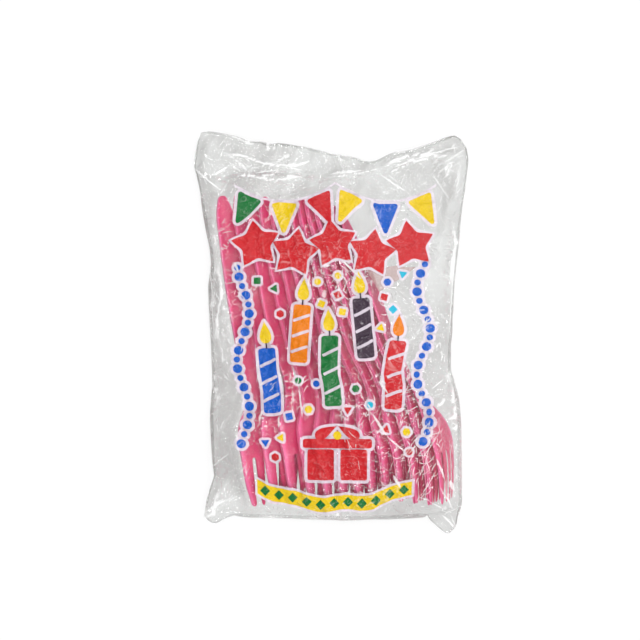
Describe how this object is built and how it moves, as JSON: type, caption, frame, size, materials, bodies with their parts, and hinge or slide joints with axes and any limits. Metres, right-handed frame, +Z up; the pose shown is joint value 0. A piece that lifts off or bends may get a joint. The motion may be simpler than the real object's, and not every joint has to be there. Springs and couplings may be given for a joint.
{
  "type": "plastic cutlery pack",
  "caption": "Sealed clear film bag, lying on its back, that holds a fanned stack of pink disposable plastic forks, handles at the top.",
  "frame": {"origin": "on the ground, under the middle of the bag's outline", "axes": "+X to the right and +Y towards the bag's top seal as the pack lies face up, +Z up out of its printed front"},
  "size_m": [0.1422, 0.2112, 0.0268],
  "materials": {
    "film": "clear, glossy, finely wrinkled",
    "fork_plastic": "glossy, slightly translucent"
  },
  "bodies": {
    "root": {"film_bag": "film", "fork_01": "fork_plastic", "fork_02": "fork_plastic", "fork_03": "fork_plastic", "fork_04": "fork_plastic", "fork_05": "fork_plastic", "fork_06": "fork_plastic", "fork_07": "fork_plastic", "fork_08": "fork_plastic", "fork_09": "fork_plastic", "fork_10": "fork_plastic", "fork_11": "fork_plastic", "fork_12": "fork_plastic", "fork_13": "fork_plastic", "fork_14": "fork_plastic", "fork_15": "fork_plastic", "fork_16": "fork_plastic", "fork_17": "fork_plastic", "fork_18": "fork_plastic", "fork_19": "fork_plastic", "fork_20": "fork_plastic", "fork_21": "fork_plastic", "fork_22": "fork_plastic", "fork_23": "fork_plastic", "fork_24": "fork_plastic", "fork_25": "fork_plastic"}
  },
  "joints": []
}
